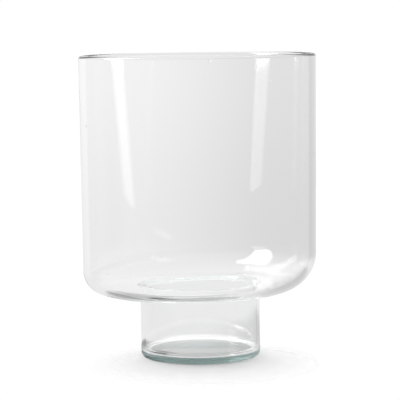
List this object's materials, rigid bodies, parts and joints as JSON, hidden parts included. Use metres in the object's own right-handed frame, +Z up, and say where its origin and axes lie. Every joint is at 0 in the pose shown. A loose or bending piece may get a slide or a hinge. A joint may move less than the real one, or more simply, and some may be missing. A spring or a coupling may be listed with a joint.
{
  "type": "footed cylinder vase",
  "caption": "Clear glass vase: a straight cylindrical bowl with a rounded lower corner, open through its neck into a narrower hollow foot with a thick base.",
  "frame": {"origin": "centre of the base, on the surface that the vase stands on", "axes": "+Z up along the vase's axis, towards the mouth; +X and +Y are any two directions square to it, because the vase is round"},
  "size_m": [0.234, 0.234, 0.3],
  "materials": {
    "clear_glass": "clear, fire-polished",
    "foot_glass": "clear, fire-polished",
    "base_glass": "clear, green through its thickness"
  },
  "bodies": {
    "root": {"bowl": "clear_glass", "foot": "foot_glass", "base": "base_glass"}
  },
  "joints": []
}
